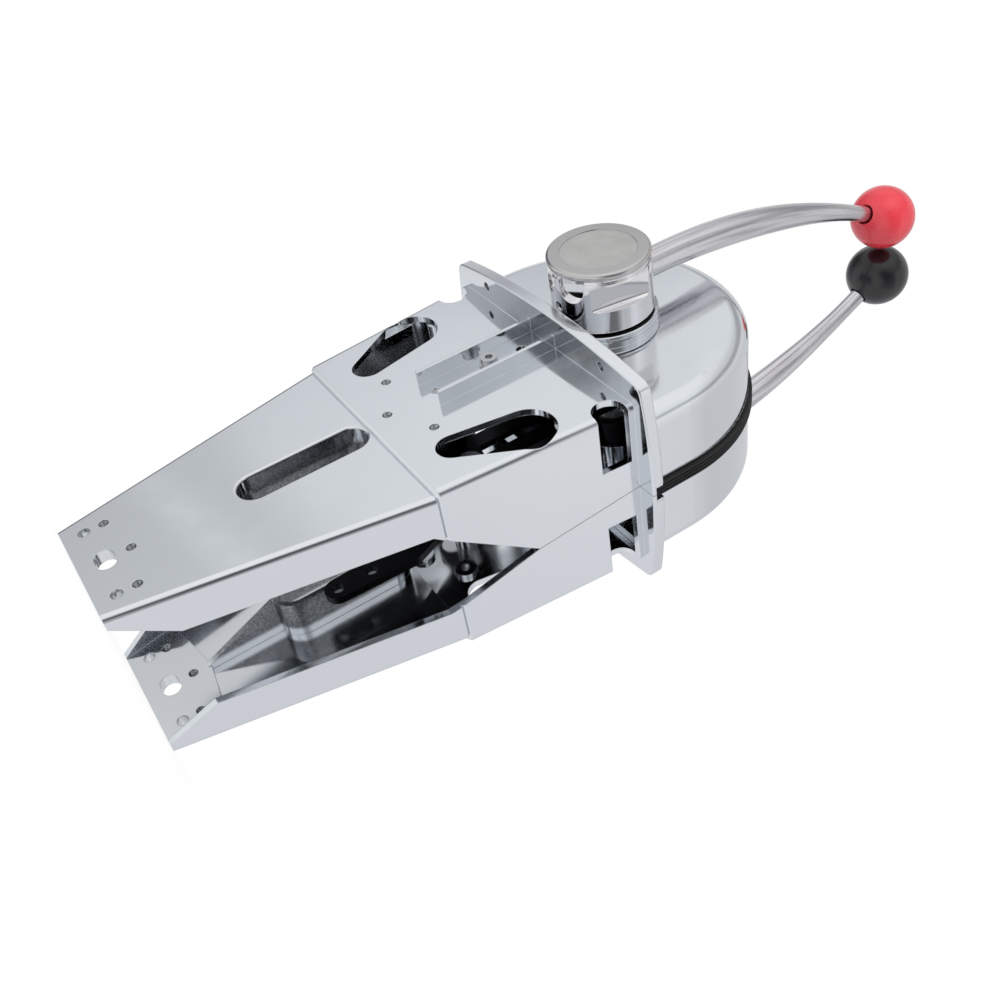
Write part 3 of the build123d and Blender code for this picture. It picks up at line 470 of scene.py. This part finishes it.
# Tapped holes in the shoulder face and in the pad at the arm end
shoulder_taps = [(y, z, 47.8, 5.4) for y, z in ((0.0, -86.3), (-23.0, -74.5), (23.0, -74.5))]
pad_taps = [(y, z, 44.8, 5.5) for y, z in ((-23.5, -217.0), (23.5, -217.0), (0.0, -212.0))]
# Finish, body and slot of each knob
knob_finish = {"throttle": (red_phenolic, "throttle_lever", "red_knob"),
               "shift": (black_phenolic, "shift_lever", "black_knob")}

seal = rim_seal()
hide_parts("rim_seal")
for side_name, hand in SIDES:
    seal_lip(f"seal_lip_{side_name}", hand)
    flange_ends(f"flange_end_{side_name}", hand)
    collar_top(f"collar_top_{side_name}", hand)
    wiper = hub_wiper(f"hub_wiper_{side_name}", f"{side_name}_lever", hand)
    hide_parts(f"hub_seal_{side_name}")
for side_name, hand in SIDES:
    knob = ball_knob(f"ball_knob_{side_name}", *knob_finish[side_name], hand)
    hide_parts(f"knob_{side_name}")
for side_name, hand in SIDES:
    cut_threads(f"tapped_threads_{side_name}", shoulder_taps + pad_taps, hand)


# ---- Floor ----

def painted_board():
    """Matt white paint that keeps the unit's shadow and fades into the white backdrop around it."""
    made, tree, shader = material("matt_painted_board")
    shader.inputs["Base Color"].default_value = colour("#f4f4f4")
    shader.inputs["Roughness"].default_value = 0.8
    rays = add(tree, "ShaderNodeLightPath")
    place = add(tree, "ShaderNodeTexCoord").outputs["Object"]
    flat = add(tree, "ShaderNodeVectorMath", {"operation": "MULTIPLY", 1: (1.0, 1.0, 0.0)}, {0: place})
    away = add(tree, "ShaderNodeVectorMath", {"operation": "LENGTH"}, {0: flat})
    fade = add(tree, "ShaderNodeMapRange", {"From Min": 50 * MM, "From Max": 200 * MM, "To Min": 0.93},
               {"Value": away})
    straight = add(tree, "ShaderNodeMath", {"operation": "MAXIMUM"},
                   {0: rays.outputs["Is Camera Ray"], 1: rays.outputs["Is Glossy Ray"]})
    share = add(tree, "ShaderNodeMath", {"operation": "MULTIPLY"}, {0: straight, 1: fade})
    white = add(tree, "ShaderNodeEmission", {"Color": (1, 1, 1, 1), "Strength": 1.0})
    mixed = add(tree, "ShaderNodeMixShader", {}, {0: share, 1: shader, 2: white})
    wire(tree, tree.nodes["Material Output"], {"Surface": mixed})
    return made


floor_r, floor_corners, floor_gap = 4.0, 48, 0.5 * MM
floor_mesh = bpy.data.meshes.new("floor")
rim = [(floor_r * math.cos(math.tau * i / floor_corners), floor_r * math.sin(math.tau * i / floor_corners),
        cad_low.z - floor_gap) for i in range(floor_corners)]
floor_mesh.from_pydata(rim, [], [tuple(range(floor_corners))])
floor_mesh.materials.append(painted_board())
floor = bpy.data.objects.new("floor", floor_mesh)
scene.collection.objects.link(floor)
# Metal mirrors the studio itself, not the board
floor.visible_glossy = False


# ---- Studio that the chrome mirrors ----

# Directions out from the unit: up from the white table it lies on, and along it towards the knobs,
# to a person beside it, to the ceiling seam, to a stand and to a heap of crumpled film
VIEWS = {
    "height": (0.991, 0.0, 0.133),
    "along": (-0.133, 0.0, 0.991),
    "person": (0.50, 0.82, -0.28),
    "seam": (-0.307, -0.141, 0.941),
    "stand": (0.557, -0.706, -0.436),
    "film": (0.585, -0.642, 0.495),
}
LOW_ROOM = [(0.0, "#dcdde1"), (0.13, "#e6e7ea"), (0.20, "#eff0f2"), (0.26, "#c4c5c9"), (0.40, "#a0a2a7"),
            (0.50, "#7b7d82"), (0.62, "#6f7176"), (0.70, "#94969b"), (0.755, "#e3e5e8"), (0.83, "#f2f4f6"),
            (0.88, "#ffffff"), (1.0, "#ffffff")]
HIGH_ROOM = [(0.0, "#dcdde1"), (0.2, "#eff0f2"), (0.5, "#f4f5f7"), (0.62, "#ffffff"), (0.70, "#c4c6ca"),
             (0.755, "#c9cbcf"), (0.79, "#f2f4f6"), (0.90, "#fbfcfd"), (1.0, "#ffffff")]
CEILING = [(0.0, "#f0f0f0"), (0.2, "#f8f8f8"), (0.5, "#e0e0e0"), (0.607, "#e1e1e1"), (0.625, "#ffffff"),
           (0.65, "#e4e4e4"), (0.672, "#e0e0e0"), (0.70, "#eaeaea"), (0.745, "#fafafa"), (0.875, "#ffffff")]


def room_colour(tree, aim, view):
    """Walls by height above the table: dark behind the bracket end, bright to the window and the door."""
    blotch = add(tree, "ShaderNodeTexNoise", {"Scale": 3.4, "Detail": 2.0, "Roughness": 0.45},
                 {"Vector": aim})
    wobble = add(tree, "ShaderNodeMath", {"operation": "MULTIPLY_ADD", 1: 0.10},
                 {0: blotch, 2: view["height"]})
    level = add(tree, "ShaderNodeMapRange", {"From Min": -0.92, "From Max": 1.08}, {"Value": wobble})
    low_room = add(tree, "ShaderNodeValToRGB", {"stops": LOW_ROOM}, {"Fac": level})
    high_room = add(tree, "ShaderNodeValToRGB", {"stops": HIGH_ROOM}, {"Fac": level})
    window = add(tree, "ShaderNodeMapRange", {"From Min": 0.20, "From Max": 0.46},
                 {"Value": view["along"]})
    door = add(tree, "ShaderNodeMapRange", {"From Min": -0.62, "From Max": -0.30, "To Min": 1.0,
                                            "To Max": 0.0}, {"Value": view["along"]})
    walls = add(tree, "ShaderNodeMix", {"data_type": "RGBA"}, {0: window, 6: low_room, 7: high_room})
    return add(tree, "ShaderNodeMix", {"data_type": "RGBA", 7: colour("#f2f4f6")}, {0: door, 6: walls})


def ceiling_shade(tree, view):
    """A bright seam in the ceiling, dim beyond it and brightening towards the window."""
    sweep = add(tree, "ShaderNodeMapRange", {"From Min": -0.50, "From Max": 0.30}, {"Value": view["seam"]})
    slope = add(tree, "ShaderNodeValToRGB", {"stops": CEILING}, {"Fac": sweep})
    over = add(tree, "ShaderNodeMapRange", {"From Min": 0.35, "From Max": 0.5}, {"Value": view["height"]})
    under = add(tree, "ShaderNodeMapRange", {"From Min": 0.72, "From Max": 0.82, "To Min": 1.0,
                                             "To Max": 0.0}, {"Value": view["height"]})
    band = add(tree, "ShaderNodeMath", {"operation": "MULTIPLY"}, {0: over, 1: under})
    return add(tree, "ShaderNodeMix", {"data_type": "FLOAT", 2: 1.0}, {0: band, 3: slope})


def film_shade(tree, aim, view):
    """Small patch of crumpled clear film that breaks the light up."""
    crumple = add(tree, "ShaderNodeTexNoise", {"Scale": 75.0, "Detail": 2.0, "Distortion": 1.2},
                  {"Vector": aim})
    spark = add(tree, "ShaderNodeMapRange", {"From Min": 0.42, "From Max": 0.56, "To Min": 0.86},
                {"Value": crumple})
    patch = add(tree, "ShaderNodeMapRange", {"From Min": 0.9978, "From Max": 0.9992},
                {"Value": view["film"]})
    return add(tree, "ShaderNodeMix", {"data_type": "FLOAT", 2: 1.0}, {0: patch, 3: spark})


def studio_world():
    """White to the camera, a studio to what mirrors it, and a plain soft light to everything else."""
    world = bpy.data.worlds.new("studio")
    world.use_nodes = True
    tree = world.node_tree
    tree.nodes.clear()
    rays = add(tree, "ShaderNodeLightPath")
    aim = add(tree, "ShaderNodeTexCoord").outputs["Generated"]
    view = {name: add(tree, "ShaderNodeVectorMath", {"operation": "DOT_PRODUCT", 1: direction}, {0: aim})
            for name, direction in VIEWS.items()}
    shade = ceiling_shade(tree, view)
    # Each of these dims one part of the room: from, to, and how much light is left
    for name, low, high, left in (("person", 0.92, 0.98, 0.3), ("along", 0.46, 0.70, 0.78),
                                  ("stand", 0.9972, 0.9990, 0.12)):
        dim = add(tree, "ShaderNodeMapRange", {"From Min": low, "From Max": high, "To Min": 1.0,
                                               "To Max": left}, {"Value": view[name]})
        shade = add(tree, "ShaderNodeMath", {"operation": "MULTIPLY"}, {0: shade, 1: dim})
    film = film_shade(tree, aim, view)
    shade = add(tree, "ShaderNodeMath", {"operation": "MULTIPLY"}, {0: shade, 1: film})
    mirrored = add(tree, "ShaderNodeBackground", {}, {"Color": room_colour(tree, aim, view),
                                                      "Strength": shade})
    ambient = add(tree, "ShaderNodeBackground", {"Color": colour("#eceef1"), "Strength": 0.55})
    white = add(tree, "ShaderNodeBackground", {"Color": (1, 1, 1, 1), "Strength": 1.0})
    bounced = add(tree, "ShaderNodeMixShader", {}, {0: rays.outputs["Is Glossy Ray"], 1: ambient,
                                                    2: mirrored})
    whole = add(tree, "ShaderNodeMixShader", {}, {0: rays.outputs["Is Camera Ray"], 1: bounced, 2: white})
    add(tree, "ShaderNodeOutputWorld", {}, {"Surface": whole})
    return world


scene.world = studio_world()


# ---- Lamps ----

def softbox(name, place, target, size, watts):
    """Square soft lamp that faces a point."""
    lamp = bpy.data.lights.new(name, "AREA")
    lamp.shape = "SQUARE"
    lamp.size = size
    lamp.energy = watts
    made = bpy.data.objects.new(name, lamp)
    scene.collection.objects.link(made)
    made.location = place
    made.rotation_mode = "QUATERNION"
    made.rotation_quaternion = (Vector(target) - Vector(place)).to_track_quat("-Z", "Y")
    made.visible_glossy = False


softbox("key_light", (1.3, 0.5, 0.5), (0, 0, 0.05), 0.9, 16.0)
softbox("fill_light", (-0.6, 1.2, 0.9), (0, 0, 0.0), 1.0, 9.0)
softbox("back_light", (-0.4, -1.3, 0.7), (0, 0, 0.05), 1.0, 9.0)


# ---- Camera ----

SENSOR_MM = 36.0
FRAME_PX = 1000
FOCAL_PX = 1114.595
MIDDLE_X_PX, MIDDLE_Y_PX = 486.319, 479.050
CAMERA_PLACE = (0.34870064, 0.3893587, -0.22728459)
CAMERA_RIGHT = Vector((-0.14467943, 0.53056808, 0.83520379))
CAMERA_DOWN = Vector((-0.74848241, 0.49339988, -0.44309214))
CAMERA_AHEAD = Vector((-0.64718, -0.68924166, 0.32573606))

lens = bpy.data.cameras.new("camera")
lens.sensor_width = SENSOR_MM
lens.lens = FOCAL_PX / FRAME_PX * SENSOR_MM
lens.shift_x = (FRAME_PX / 2 - MIDDLE_X_PX) / FRAME_PX
lens.shift_y = (MIDDLE_Y_PX - FRAME_PX / 2) / FRAME_PX
lens.clip_start = 0.01
lens.clip_end = 50.0
camera = bpy.data.objects.new("camera", lens)
scene.collection.objects.link(camera)
turn = Matrix((CAMERA_RIGHT, -CAMERA_DOWN, -CAMERA_AHEAD)).transposed()
camera.matrix_world = Matrix.Translation(CAMERA_PLACE) @ turn.to_4x4()
scene.camera = camera
scene.view_settings.view_transform = "Standard"
